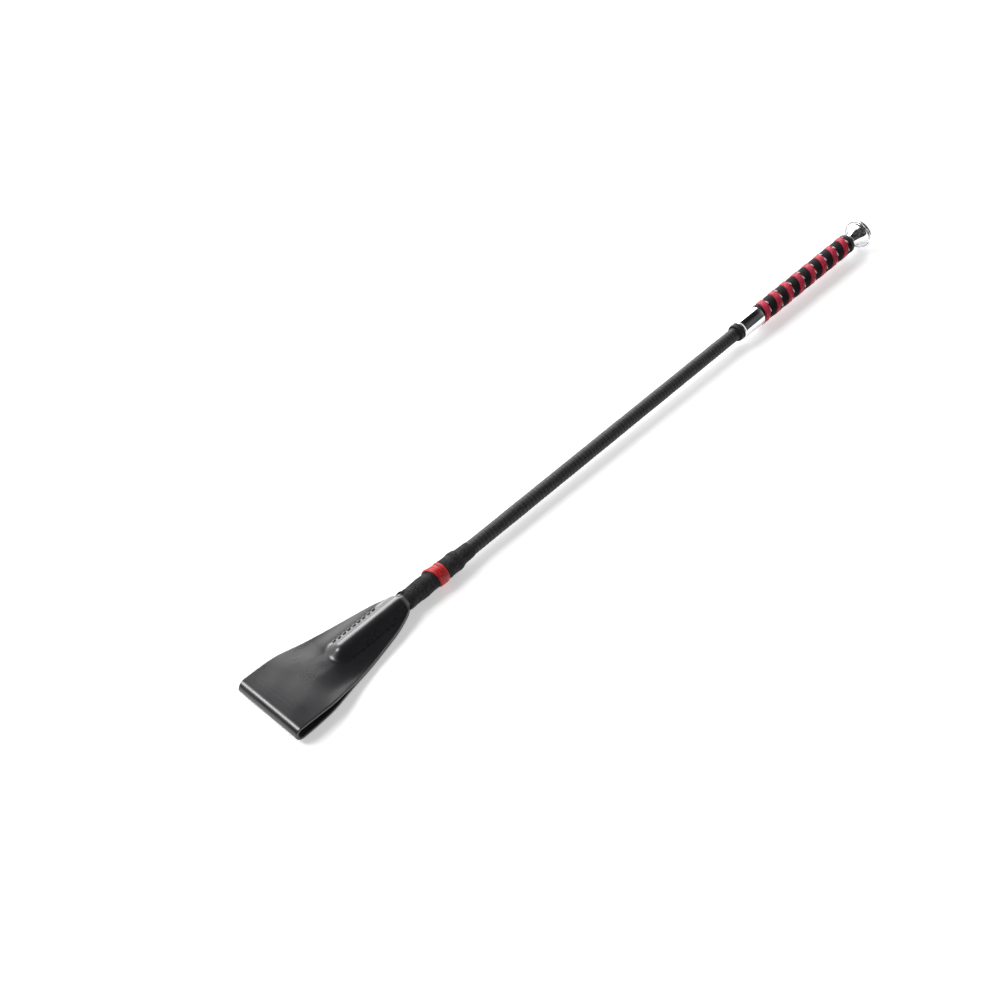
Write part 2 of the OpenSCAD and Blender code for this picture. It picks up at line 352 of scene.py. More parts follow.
def lay_third(tree):
    """The third value of the lay: 1 on the flesh side of leather, and up to 1 where painted shade darkens
    the hollows of thread.
    """
    place = node(tree, "Attribute", attribute_name="lay").outputs["Vector"]
    return node(tree, "SeparateXYZ", {0: place}).outputs["Z"]


def object_vector(tree):
    """The place on the object, in metres."""
    return node(tree, "TexCoord").outputs["Object"]


def mix(tree, factor, a, b):
    """Blends two colour sockets by a factor socket."""
    made = tree.nodes.new("ShaderNodeMix")
    made.data_type = "RGBA"
    for index, value in ((0, factor), (6, a), (7, b)):
        tree.links.new(value, made.inputs[index])
    return made.outputs[2]


def colour_between(tree, factor, a, b):
    """A colour socket that goes from a to b as the factor socket goes from 0 to 1."""
    made = tree.nodes.new("ShaderNodeValToRGB")
    made.color_ramp.elements[0].color = (*a, 1)
    made.color_ramp.elements[1].color = (*b, 1)
    tree.links.new(factor, made.inputs["Fac"])
    return made.outputs["Color"]


def range_of(tree, value, low, high):
    """Maps a 0..1 socket to a range."""
    return node(tree, "MapRange", {"Value": value, "To Min": low, "To Max": high}).outputs["Result"]


def bump(tree, shader, height, strength, distance, under=None):
    """Adds relief to the shader, on top of another relief if one is given."""
    made = node(tree, "Bump", {"Height": height, "Strength": strength, "Distance": distance})
    if under is not None:
        tree.links.new(under, made.inputs["Normal"])
    tree.links.new(made.outputs["Normal"], shader.inputs["Normal"])
    return made.outputs["Normal"]


def leather_material(name, dark, light, roughness, gloss=0.35):
    """Dyed leather: fine pebble grain, faint creases and an even polish, with suede on its flesh side."""
    material, tree, shader = new_material(name, Specular_IOR_Level=0.55, Coat_Roughness=0.24)
    place = lay_vector(tree, 1, 1)
    cloud = node(tree, "TexNoise", {"Vector": place, "Scale": 55, "Detail": 4, "Roughness": 0.6})
    pebble = node(tree, "TexVoronoi", {"Vector": place, "Scale": 1500, "Randomness": 1})
    crease = node(tree, "TexNoise", {"Vector": place, "Scale": 420, "Detail": 3, "Roughness": 0.55})
    flesh = lay_third(tree)
    skin = colour_between(tree, cloud.outputs["Fac"], dark, light)
    suede = colour_between(tree, crease.outputs["Fac"], (0.035, 0.032, 0.032), (0.08, 0.075, 0.072))
    tree.links.new(mix(tree, flesh, skin, suede), shader.inputs["Base Color"])
    smooth = range_of(tree, cloud.outputs["Fac"], roughness - 0.07, roughness + 0.09)
    rough = node(tree, "Math", {0: smooth, 1: flesh}, operation="MAXIMUM").outputs[0]
    tree.links.new(rough, shader.inputs["Roughness"])
    polish = node(tree, "Math", {0: gloss, 1: flesh}, operation="SUBTRACT", use_clamp=True).outputs[0]
    tree.links.new(polish, shader.inputs["Coat Weight"])
    grained = bump(tree, shader, pebble.outputs["Distance"], 0.08, 0.0001)
    bump(tree, shader, crease.outputs["Fac"], 0.14, 0.0002, grained)
    return material


def thread_material(name, dark, light, roughness=0.62, sheen=0.05, specular=0.25):
    """Spun thread: fibres that run along the strand, painted shade in its hollows and a slight textile
    sheen.
    """
    material, tree, shader = new_material(name, Specular_IOR_Level=specular, Sheen_Weight=sheen,
                                          Sheen_Roughness=0.4)
    along = lay_vector(tree, 0.12, 1)
    fine = {"Vector": along, "Scale": 2600, "Detail": 3, "Roughness": 0.6}
    hairs = node(tree, "TexNoise", fine).outputs["Fac"]
    uneven = {"Vector": object_vector(tree), "Scale": 700, "Detail": 2}
    shade = node(tree, "TexNoise", uneven).outputs["Fac"]
    both = node(tree, "Math", {0: hairs, 1: shade}, operation="MULTIPLY").outputs[0]
    spread = node(tree, "MapRange", {"Value": both, "From Min": 0.10, "From Max": 0.40}).outputs["Result"]
    # painted shade: the lay's third value darkens the colour in hollows and creases
    hollow = lay_third(tree)
    lit = node(tree, "Math", {0: spread, 1: hollow}, operation="SUBTRACT", use_clamp=True).outputs[0]
    tree.links.new(colour_between(tree, lit, dark, light), shader.inputs["Base Color"])
    tree.links.new(range_of(tree, hairs, roughness - 0.12, roughness + 0.12), shader.inputs["Roughness"])
    bump(tree, shader, hairs, 0.5, 0.00015)
    return material


def chrome_material(name):
    """Polished plating: mirror-like, with the faintest waviness and a few hairline scuffs."""
    material, tree, shader = new_material(name, Base_Color=(0.86, 0.87, 0.89, 1), Metallic=1.0)
    place = object_vector(tree)
    wave = node(tree, "TexNoise", {"Vector": place, "Scale": 90, "Detail": 2})
    scuff = node(tree, "TexNoise", {"Vector": place, "Scale": 900, "Detail": 6, "Roughness": 0.8})
    tree.links.new(range_of(tree, scuff.outputs["Fac"], 0.02, 0.09), shader.inputs["Roughness"])
    bump(tree, shader, wave.outputs["Fac"], 0.04, 0.0004)
    return material


def moulded_material(name, dark, light, roughness=0.5, metallic=0.0):
    """Moulded or drawn stock for the hidden pieces: fine grain along the rod and a little variation."""
    material, tree, shader = new_material(name, Metallic=metallic)
    along_rod = {0: object_vector(tree), 1: (40, 1200, 1200)}
    stretched = node(tree, "VectorMath", along_rod, operation="MULTIPLY").outputs[0]
    grain = node(tree, "TexNoise", {"Vector": stretched, "Scale": 1, "Detail": 4}).outputs["Fac"]
    tree.links.new(colour_between(tree, grain, dark, light), shader.inputs["Base Color"])
    tree.links.new(range_of(tree, grain, roughness - 0.1, roughness + 0.1), shader.inputs["Roughness"])
    bump(tree, shader, grain, 0.15, 0.0001)
    return material


MATERIALS = {
    "keeper_leather": leather_material("keeper_leather", (0.010, 0.010, 0.012), (0.019, 0.019, 0.022),
                                       0.28),
    "band_black": leather_material("band_black", (0.003, 0.003, 0.0035), (0.008, 0.007, 0.008), 0.50,
                                   gloss=0.05),
    "braid": thread_material("braid", (0.003, 0.003, 0.003), (0.034, 0.034, 0.036), roughness=0.55,
                             specular=0.4),
    "rim_cord": thread_material("rim_cord", (0.003, 0.003, 0.004), (0.026, 0.026, 0.028)),
    "black_thread": thread_material("black_thread", (0.004, 0.004, 0.005), (0.052, 0.051, 0.053)),
    "stitch_thread": thread_material("stitch_thread", (0.002, 0.002, 0.003), (0.010, 0.010, 0.011),
                                     roughness=0.5),
    "red_thread": thread_material("red_thread", (0.36, 0.003, 0.008), (0.88, 0.024, 0.020),
                                  roughness=0.36, specular=0.6),
    "strap_red": thread_material("strap_red", (0.24, 0.002, 0.016), (0.74, 0.016, 0.070), roughness=0.48,
                                 sheen=0.02, specular=0.35),
    "strap_black": thread_material("strap_black", (0.0015, 0.001, 0.0015), (0.007, 0.005, 0.007),
                                   sheen=0.02, specular=0.16),
    "silver_cord": thread_material("silver_cord", (0.78, 0.77, 0.77), (0.95, 0.95, 0.94), roughness=0.35,
                                   sheen=0.1, specular=0.8),
    "chrome_plate": chrome_material("chrome_plate"),
    "glass_fibre": moulded_material("glass_fibre", (0.60, 0.54, 0.36), (0.82, 0.76, 0.58)),
    "sheath_plastic": moulded_material("sheath_plastic", (0.02, 0.02, 0.02), (0.05, 0.05, 0.05)),
    "cap_rubber": moulded_material("cap_rubber", (0.02, 0.02, 0.02), (0.04, 0.04, 0.04), 0.8),
    "tube_plastic": moulded_material("tube_plastic", (0.03, 0.03, 0.03), (0.07, 0.07, 0.07), 0.6),
    "bush_plastic": moulded_material("bush_plastic", (0.62, 0.60, 0.55), (0.80, 0.78, 0.72)),
    "stud_steel": moulded_material("stud_steel", (0.42, 0.42, 0.44), (0.62, 0.62, 0.64), 0.35, 1.0),
}

for part in frame["record"]["subparts"]:
    mesh = frame["nodes"][part["node"]].data
    mesh.materials.clear()
    mesh.materials.append(MATERIALS[part["material_slot"]])

# ---------------------------------------------------------------- keeper


def keeper_half_width(x):
    """Half of the leather's width at x: parallel at the tip, a straight taper, then rounded shoulders."""
    shoulder_x = neck_x - SHOULDER_RUN
    taper = SHOULDER_HALF + TAPER * (shoulder_x - x)
    width = -smooth_max(-taper, np.full_like(x, -tip_half), 1.2 * MM)
    rounding = np.clip((x - shoulder_x) / SHOULDER_RUN, 0, 1)
    return width - NECK_PINCH * rounding ** 2.2


def ridge_height(reach, inner):
    """Taut leather over the rod, at a distance from its axis: round on top, then straight to the seam."""
    slack = leather if inner else 0.0
    bend_r = ridge_r - slack
    tangent = math.atan2(leather, stitch_row) + math.acos(ridge_r / math.hypot(leather, stitch_row))
    lean = math.pi / 2 - tangent
    crown = np.sqrt(np.clip(bend_r ** 2 - reach ** 2, 0, None))
    flank = leather + (stitch_row - reach) * math.tan(lean) - slack / math.cos(lean)
    return np.where(reach < bend_r * math.sin(lean), crown, flank)


def keeper_height(x, y, inner):
    """Height of one face of the upper leather above the keeper's middle plane."""
    closed = 0.04 * MM
    from_meeting = np.clip((tip_x + fold_r + LOOP_RUN - x) / LOOP_RUN, 0, 1)
    open_part = np.sin(math.pi / 2 * from_meeting) ** LOOP_SWELL
    loop = closed + (0 if inner else leather) + (fold_r - leather - closed) * open_part
    ahead = np.minimum(x - nose_x, 0) * NOSE_CURVE
    ridge = ridge_height(np.hypot(ahead, y), inner)
    return smooth_max(ridge, loop, (1.1 if inner else 1.5) * MM)


def keeper_sag(x, y):
    """The middle plane itself: the near flank of the keeper hangs down a little beside the rod."""
    beside_rod = smoothstep(nose_x - 36 * MM, nose_x + 12 * MM, x)
    beside_rod = beside_rod * (1 - smoothstep(neck_x - 8 * MM, neck_x, x))
    near_side = smoothstep(4 * MM, 20 * MM, -y)
    far_side = smoothstep(8 * MM, 20 * MM, y)
    hang = -(NEAR_HANG * near_side + FAR_HANG * far_side) * beside_rod
    soft = 0.30 * MM * wobble(x + y * 0.6, 31 * MM, 11) + 0.18 * MM * wobble(y - x * 0.3, 17 * MM, 5)
    return hang + soft * smoothstep(nose_x, nose_x - 24 * MM, x)


def keeper_dimples(x, y):
    """How far the stitches pull the leather in, with soft creases before the rod's end and by the fold."""
    along = smoothstep(stitch_low.x - 3 * MM, stitch_low.x + MM, x)
    along = along * (1 - smoothstep(stitch_high.x - MM, stitch_high.x + 3 * MM, x))
    groove = np.exp(-((np.abs(y) - stitch_row) / (0.9 * MM)) ** 2) * along
    pull = 0.5 + 0.5 * np.cos(TAU * (x - stitch_low.x + 0.7 * MM) / STITCH_PITCH)
    crease = np.exp(-((x - nose_x + 10 * MM) / (7 * MM)) ** 2) * np.exp(-(y / (14 * MM)) ** 2)
    ripple = np.cos(y / (3.3 * MM) + x / (7 * MM) + 0.8)
    by_fold = smoothstep(fold_x + 4 * MM, fold_x + 8 * MM, x)
    by_fold = by_fold * smoothstep(fold_x + 20 * MM, fold_x + 9 * MM, x)
    line = wobble(x + 0.5 * MM * np.sin(y / (6 * MM)), 1.6 * MM, 77)
    wrinkle = line * (0.6 + 0.4 * wobble(y, 5 * MM, 78))
    dimple = 0.30 * MM * groove * (0.45 + 0.55 * pull)
    return dimple + 0.10 * MM * crease * ripple + 0.028 * MM * by_fold * wrinkle


def keeper_surface(x, turn, y, inner):
    """Points on one face of the strip. turn runs 0..1 round the fold; x is used on the straights. At the
    neck the leather is gathered in under the thread."""
    height = keeper_height(x, y, inner) - (0 if inner else keeper_dimples(x, y))
    bend = fold_r - (leather if inner else 0)
    folding = (turn > 0) & (turn < 1)
    side = np.cos(np.pi * np.clip(turn, 0, 1))
    px = np.where(folding, tip_x + fold_r - bend * np.sin(np.pi * turn), x)
    pz = np.where(folding, bend * side, height * side) + keeper_sag(x, y)
    gathered = smoothstep(neck_x - 4.5 * MM, neck_x + 2.5 * MM, x)
    bound_r = whip_r - (1.35 if inner else 0.9) * MM
    squeeze = 1 - gathered * np.clip(1 - bound_r / np.maximum(np.hypot(y, pz), bound_r), 0, 1)
    return np.stack([px, y * squeeze, pz * squeeze], -1)


def cut_edge(outer, inner, column, sign):
    """The strip's cut edge: rounded from the outer face to the inner one along one column of points."""
    a, b = outer[:, column], inner[:, column]
    middle = (a + b) / 2
    out = np.array([0, sign * EDGE, 0])
    points = []
    for turn in np.linspace(0, math.pi, 8)[1:-1]:
        flat = math.copysign(abs(math.cos(turn)) ** 0.55, math.cos(turn))
        points.append(middle + (a - middle) * flat + out * math.sin(turn) ** 0.55)
    return np.stack(points, 1)


def leather_lay(rows, run, columns):
    """The distance along the strip, the distance round each ring, and 1 on the flesh side."""
    steps = np.linalg.norm(np.diff(rows, axis=1), axis=2)
    reach = np.concatenate([np.zeros((len(rows), 1)), np.cumsum(steps, 1)], 1)
    flesh = np.zeros(reach.shape)
    flesh[:, columns + 5:-5] = 1
    return np.stack([np.broadcast_to(run[:, None], reach.shape), reach, flesh], -1)


def keeper_leather():
    """One strip of leather: over the rod, round the fold at the tip, and back under the rod."""
    centre = tip_x + fold_r
    straight = np.linspace(neck_x + 2.5 * MM, centre, 168)
    fold = np.linspace(0, 1, 32)[1:-1]
    x = np.concatenate([straight, [centre] * len(fold), straight[::-1]])
    turn = np.concatenate([np.zeros(len(straight)), fold, np.ones(len(straight))])
    drawn_in = 0.4 * MM * np.where((turn > 0) & (turn < 1), np.sin(np.pi * turn), 0)
    half = keeper_half_width(x) - drawn_in
    across = np.linspace(-1, 1, 81)
    grid_x = np.repeat(x[:, None], len(across), 1)
    grid_turn = np.repeat(turn[:, None], len(across), 1)
    grid_y = across[None] * (half[:, None] - EDGE)
    outer = keeper_surface(grid_x, grid_turn, grid_y, False)
    inner = keeper_surface(grid_x, grid_turn, grid_y, True)
    far_edge = cut_edge(outer, inner, -1, 1)
    near_edge = cut_edge(outer, inner, 0, -1)[:, ::-1]
    rows = np.concatenate([outer, far_edge, inner[:, ::-1], near_edge], 1)
    lay = leather_lay(rows, lengths(outer[:, len(across) // 2]), len(across))
    order = np.roll(np.arange(rows.shape[1]), 3)  # a ring starts in the middle of an edge
    piece = build("keeper_leather", [(rows[:, order], lay[:, order])], "keeper_leather")
    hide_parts("keeper_collar", "keeper_tongue")
    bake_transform(piece)


def keeper_stitches(cad_node):
    """Lockstitches of waxed two-ply thread that dip into the leather at each end, above and below."""
    low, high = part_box(cad_node)
    y = (low.y + high.y) / 2
    t = np.linspace(-1, 1, 21)
    sheets = []
    for i in range(STITCHES):
        for face in (1, -1):
            x = low.x + 1.4 * MM + i * STITCH_PITCH + 1.6 * MM * t
            row = np.full_like(x, y + 0.12 * MM * math.sin(2.4 * i + face))
            surface = keeper_height(x, row, False) - keeper_dimples(x, row)
            lift = 0.20 * MM - 1.3 * MM * np.abs(t) ** 7
            z = face * (surface + lift) + keeper_sag(x, row)
            path = np.stack([x, row + 0.14 * MM * t * face, z], -1)
            up = np.tile([0.0, 0.0, float(face)], (len(t), 1))
            sheets.append(spun(path, up, 0.32 * MM, 1.5 * MM))
    in_place_of(build(cad_node + "_thread", sheets, "stitch_thread"), cad_node)


# ---------------------------------------------------------------- whipping


def coil(x0, x1, envelope, size, seed, phase=0.0, spacing=1.86, rough=1.6, lean=0.0):
    """Hand-wound turns of thread from x0 to x1 whose tops follow envelope(x); lean tilts the turns."""
    turns = abs(x1 - x0) / (spacing * size)
    t = np.linspace(0, 1, int(turns * 40))
    angle = phase + math.copysign(1, x1 - x0) * t * turns * TAU
    ease = np.minimum(1, np.minimum(t, 1 - t) * turns / 3)
    sway = lean * np.sin(angle + seed) * ease
    stray = rough * size * (0.25 * wobble(angle, 2.3, seed) + 0.3 * np.sin(angle + seed))
    x = x0 + (x1 - x0) * t + sway + stray
    r = envelope(x) - size + rough * 0.26 * size * wobble(angle, 3.7, seed + 1)
    return thread(x, r, angle, size, twist=2.3 * MM)


def overlay(x0, x1, seed, spacing=2.0, lean=0.0):
    """A second layer of turns on part of a whipping, wound back over the first; its ends dip under."""
    middle, half = (x0 + x1) / 2, abs(x1 - x0) / 2

    def raised(x):
        bulge = np.sqrt(np.clip(1 - (np.abs(x - middle) / half) ** 4, 0, 1))
        return whipping_envelope(x) + THREAD * (1.15 * bulge - 0.1)

    return coil(x1, x0, raised, THREAD, seed, phase=seed, spacing=spacing, rough=1.9, lean=lean)


def whipping_envelope(x):
    """Outer radius of the bound thread: full by the keeper, a step past the red band, then a thin tail."""
    lower, upper = span("whipping_lower"), span("whipping_upper")
    waist = -0.35 * MM * np.exp(-((x - lower[0] - 9 * MM) / (6 * MM)) ** 2)
    step = smoothstep(upper[0] + 13 * MM, upper[0] + 17.5 * MM, x)
    tail = smoothstep(upper[0] + 15 * MM, upper[1] + 4 * MM, x)
    body = whip_r + waist - (whip_r - braid_r - 0.12 * MM) * (0.5 * step + 0.5 * tail)
    return body + 0.16 * MM * wobble(x, 3.4 * MM, 21)


def sleeve_under(x0, x1):
    """A core under a coil, so that nothing shows between its turns."""
    steps = 72
    x = np.linspace(x0, x1, 40)
    angle = np.arange(steps + 1) * TAU / steps
    shell, _ = on_rod(x[:, None], whipping_envelope(x)[:, None] - 1.4 * THREAD, angle[None])
    bore, _ = on_rod(x[::-1, None], braid_r + 0.1 * MM, angle[None])
    rows = np.concatenate([shell, bore]).transpose(1, 0, 2)
    lay = np.stack([rows[..., 0], np.broadcast_to(angle[:, None] * braid_r, rows.shape[:2])], -1)
    return rows, lay


def whippings():
    """The black bindings each side of the red band: an even layer, and looser turns wound back over it."""
    lower, upper = span("whipping_lower"), span("whipping_upper")
    start = lower[0]
    sheets = [coil(start + THREAD, upper[0], whipping_envelope, THREAD, 31),
              overlay(start + 0.3 * MM, start + 7.5 * MM, 41),
              overlay(start + 5 * MM, start + 15 * MM, 43, spacing=4.1, lean=1.3 * MM),
              overlay(start + 11 * MM, start + 20 * MM, 47, spacing=2.9, lean=-0.9 * MM)]
    make_whipping("whipping_lower", sheets, (start + 0.2 * MM, upper[0]))
    start = upper[0]
    sheets = [coil(start + 0.2 * MM, upper[1], whipping_envelope, THREAD, 61, phase=2.0),
              overlay(start + 0.6 * MM, start + 8 * MM, 63, lean=0.7 * MM),
              overlay(start + 5 * MM, start + 15 * MM, 65, spacing=2.6, lean=-1.3 * MM)]
    make_whipping("whipping_upper", sheets, (start + 0.2 * MM, upper[1] - THREAD))


def make_whipping(cad_node, sheets, ends):
    """The wound thread of one whipping, and the core under it."""
    in_place_of(build(cad_node + "_thread", sheets, "black_thread"), cad_node)
    core = weld(build(cad_node + "_core", [sleeve_under(*ends)], "black_thread", caps=False))
    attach(core, "crop")


def whipping_tail():
    """The cut end of the thread: a short nub on the leather's end, with a few frayed fibres."""
    t = np.linspace(0, 1, 34)
    x = span("whipping_tail")[0] + 4.0 * MM - 7.0 * MM * t
    r = whip_r + 0.1 * MM + (ridge_r - whip_r + 0.75 * MM) * smoothstep(0.2, 0.75, t) - 0.4 * MM * t ** 6
    angle = math.radians(52) + 0.20 * np.sin(2.6 * t)
    path, out = on_rod(x, r, angle)
    blunt = (0.62 * MM * np.sqrt(np.clip(1 - np.abs(2 * t - 1) ** 9, 0.1, 1)))[:, None]
    sheets = [spun(path, out, blunt, 2.1 * MM, sides=12)]
    s = np.linspace(0, 1, 12)[:, None]
    for k in range(6):
        spread = np.array([-0.9 * MM, (k - 2.5) * 0.3 * MM, (0.1 + 0.3 * math.sin(3 * k)) * MM])
        hair = path[-2] + spread * s - np.array([0, 0, 0.4 * MM]) * s ** 2
        sheets.append(spun(hair, out[-len(s):], 0.11 * MM, 0.9 * MM, sides=6))
    in_place_of(build("whipping_tail_thread", sheets, "black_thread"), "whipping_tail")


def ribbon(places, turns, lift, seed):
    """Satin threads side by side from one place on the rod to another, which gather on the way. The
    outer threads lie lower, and their colour is darkened with painted crease shade."""
    count, size = 8, RED_THREAD
    sheets = []
    t = np.linspace(0, 1, 110)
    middle = places[0] + (places[1] - places[0]) * smoothstep(0.18, 0.86, t)
    angle = turns[0] + (turns[1] - turns[0]) * t
    gather = 1 - 0.3 * np.sin(math.pi * t) ** 2
    tuck = 4.6 * size * (1 - smoothstep(0, 0.09, t) * (1 - smoothstep(0.91, 1, t)))
    for k in range(count):
        off = k - (count - 1) / 2
        side = abs(2 * off / (count - 1))
        x = middle + off * 1.60 * size * gather + 0.35 * size * wobble(t * 9, 1.0, seed + k)
        crown = 4.6 * size * math.sqrt(1 - (side * (count - 1) / (count + 1)) ** 2) - 1.2 * size
        r = red_base(x) + lift + crown - tuck + 0.3 * size * wobble(t * 7, 1.0, seed - k)
        rows, lay = thread(x, r, angle, size, twist=2.6 * MM)
        # painted shade: the outer threads' colour is darkened as if shaded in a crease
        shade = np.full(lay.shape[:2] + (1,), 0.7 * side ** 3)
        sheets.append((rows, np.concatenate([lay, shade], -1)))
    return sheets


def red_base(x):
    """Radius that the red thread is wound on."""
    return whipping_envelope(x) - 0.2 * MM


def red_band():
    """Satin thread: close turns at the grip's side, and wraps that run into them at a slant."""
    low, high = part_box("red_band")
    turns_x0 = high.x - 6.4 * MM

    def crown(x):
        across = np.clip((x - turns_x0) / (high.x - turns_x0), 0, 1)
        return red_base(x) + 0.25 * MM + 0.75 * MM * np.abs(np.sin(TAU * across)) ** 0.6

    sheets = [coil(turns_x0, high.x - 0.2 * MM, crown, RED_THREAD, 81, lean=0.3 * MM)]
    sheets += ribbon((low.x + 4.6 * MM, high.x - 2.6 * MM), (-1.2, 4.1), 0.10 * MM, 90)
    sheets += ribbon((low.x + 2.9 * MM, high.x - 5.2 * MM), (-1.0, 3.9), 0.35 * MM, 105)
    sheets += ribbon((low.x + 0.6 * MM, high.x - 7.4 * MM), (-0.8, 3.7), 0.62 * MM, 120)
    in_place_of(build("red_band_thread", sheets, "red_thread"), "red_band")


# ---------------------------------------------------------------- braid


def braid_relief(x, angle):
    """Height, 0 to 1, of a two-over two-under tubular braid with round strands."""
    a = CARRIERS * (angle / TAU + x / BRAID_LAY)
    b = CARRIERS * (angle / TAU - x / BRAID_LAY)
    round_a = np.sqrt(np.clip(1 - (2 * (a % 1) - 1) ** 2, 0, 1))
    round_b = np.sqrt(np.clip(1 - (2 * (b % 1) - 1) ** 2, 0, 1))
    wave_a = np.cos(math.pi / 2 * (b - np.floor(a)) + 0.6)
    wave_b = -np.cos(math.pi / 2 * (a - np.floor(b)) - 0.6)
    thick, climb = 0.5, 0.42
    top_a = thick * round_a + climb * np.clip(1.6 * wave_a, -1, 1)
    top_b = thick * round_b + climb * np.clip(1.6 * wave_b, -1, 1)
    return np.clip((np.maximum(top_a, top_b) + climb) / (thick + 2 * climb), 0, 1)


def braid_sleeve():
    """The shaft's textile cover as one tube with the braid's relief, and painted shade in its crevices."""
    x = np.arange(span("whipping_upper")[1] - 6 * MM, span("braid_rim")[1], 0.40 * MM)
    steps = 144
    angle = np.arange(steps + 1) * TAU / steps
    gx, ga = np.meshgrid(x, angle)
    relief = braid_relief(gx, ga)
    r = braid_r - 0.30 * MM + 0.32 * MM * relief + 0.05 * MM * wobble(gx, 13 * MM, 9)
    shell, _ = on_rod(gx, r, ga)
    bore, _ = on_rod(gx[:, [-1, 0]], braid_r - 0.5 * MM, ga[:, [-1, 0]])
    rows = np.concatenate([shell, bore], 1)
    # painted shade: the colour darkens in the crevices between the strands
    hollow = np.pad(0.75 * (1 - relief) ** 1.5, ((0, 0), (0, 2)))
    lay = np.stack([rows[..., 0], np.broadcast_to(angle[:, None] * braid_r, hollow.shape), hollow], -1)
    in_place_of(weld(build("braid_sleeve_weave", [(rows, lay)], "braid", caps=False)), "braid_sleeve")


def braid_rim():
    """The braid's end, rolled back on itself and bound as a soft corded ring."""
    x0, x1 = span("braid_rim")
    middle, half = (x0 + x1) / 2, (x1 - x0) / 2
    steps = 320
    ring = np.arange(steps + 1) * TAU / steps
    around = np.arange(40) * TAU / 40
    gr, ga = np.meshgrid(ring, around, indexing="ij")
    strands, twists = 3, 26
    cord = 0.5 + 0.5 * np.cos(ga * strands + gr * twists)
    size = 0.93 + 0.12 * cord ** 0.6 + 0.03 * np.sin(gr * 3 + 1)
    thick = rim_r - braid_r + 0.35 * MM
    x = middle + half * 1.03 * size * np.sign(np.cos(ga)) * np.abs(np.cos(ga)) ** 0.8
    swell = size * np.sign(np.sin(ga)) * np.abs(np.sin(ga)) ** 0.85
    r = braid_r - 0.1 * MM + thick / 2 + thick / 2 * swell
    rows, _ = on_rod(x, r, gr)
    lay = np.stack([gr * rim_r, ga * half], -1)
    in_place_of(weld(build("braid_rim_cord", [(rows, lay)], "rim_cord", caps=False)), "braid_rim")


# ---------------------------------------------------------------- ferrule and pommel


def ferrule():
    """A plated ferrule with a rolled lip at the braid, tucked under the winding at the grip."""
    x0, x1 = span("ferrule")
    step_x = x0 + 7 * MM
    bore = braid_r + 0.1 * MM
    inside = ferrule_r - 0.8 * MM
    outline = [(x0, bore), (x0, ferrule_r - 0.15 * MM), (x0 + 0.5 * LIP, ferrule_r + 0.15 * MM),
               (x0 + LIP, ferrule_r - 0.1 * MM), (x0 + 1.4 * LIP, ferrule_r - 0.25 * MM),
               (x0 + 2.2 * LIP, ferrule_r - 0.05 * MM), (x1, ferrule_r + 0.05 * MM),
               (x1, inside), (step_x, inside), (step_x, bore)]
    in_place_of(lathe("ferrule_plated", rounded(outline, 0.5 * MM, 7), "chrome_plate"), "ferrule")


def pommel():
    """A trumpet-shaped flare that meets a domed cap at a rolled rim."""
    centre = cad_high.x - pommel_r
    pommel_flare(centre)
    angle = np.linspace(0, math.pi / 2, 60)
    dome = [(centre + pommel_r * math.cos(a), pommel_r * math.sin(a)) for a in angle]
    bead = 0.8 * MM
    curl = np.linspace(0, 1.25 * math.pi, 24)[1:]
    roll = [(centre - bead * math.sin(a), pommel_r - bead + bead * math.cos(a)) for a in curl]
    inner_r = pommel_r - SHELL
    hollow = [(centre + inner_r * math.cos(a), inner_r * math.sin(a)) for a in angle[::-1]]
    outline = [(x, max(r, 0.001 * MM)) for x, r in dome + roll + hollow]
    in_place_of(lathe("pommel_dome_plated", outline, "chrome_plate"), "pommel_dome")


def pommel_flare(centre):
    """The flare: a small collar at the band, then a quarter-ellipse out to the dome's rim, and hollow."""
    x0 = span("pommel_flare")[0]
    bore = 3.1 * MM
    rim = pommel_r - 0.75 * MM
    start = x0 + 2 * MM
    end = centre - 0.6 * MM
    collar_r = NECK_R + 0.5 * MM
    collar = [(x0, bore), (x0, collar_r), (x0 + 0.7 * MM, collar_r), (x0 + 1.1 * MM, NECK_R)]
    curve = []
    for t in np.linspace(0, 1, 40):
        rise = 1 - math.sqrt(1 - (0.985 * t) ** 2)
        curve.append((start + (end - start) * t, NECK_R + (rim - NECK_R) * rise))
    thick = 0.9 * MM
    back = [(x + thick, max(r - thick, 3.3 * MM)) for x, r in curve[::-1] if r > NECK_R + 0.05 * MM]
    outline = collar + curve + back + [(start + 1.5 * MM, bore)]
    in_place_of(lathe("pommel_flare_plated", outline, "chrome_plate"), "pommel_flare")


# ---------------------------------------------------------------- grip


def wind(shift, half, per_turn=150):
    """Angles and middles of a left-handed winding whose middle lies shift behind the red strap's."""
    first = WIND_PHASE + TAU * (RED_START + shift - half - strap_x1 + 0.3 * MM) / WIND_PITCH
    last = WIND_PHASE + TAU * (RED_START + shift + half - grip_x0 - 0.3 * MM) / WIND_PITCH
    angle = np.linspace(first, last, int((last - first) / TAU * per_turn))
    return angle, RED_START + shift - WIND_PITCH * (angle - WIND_PHASE) / TAU


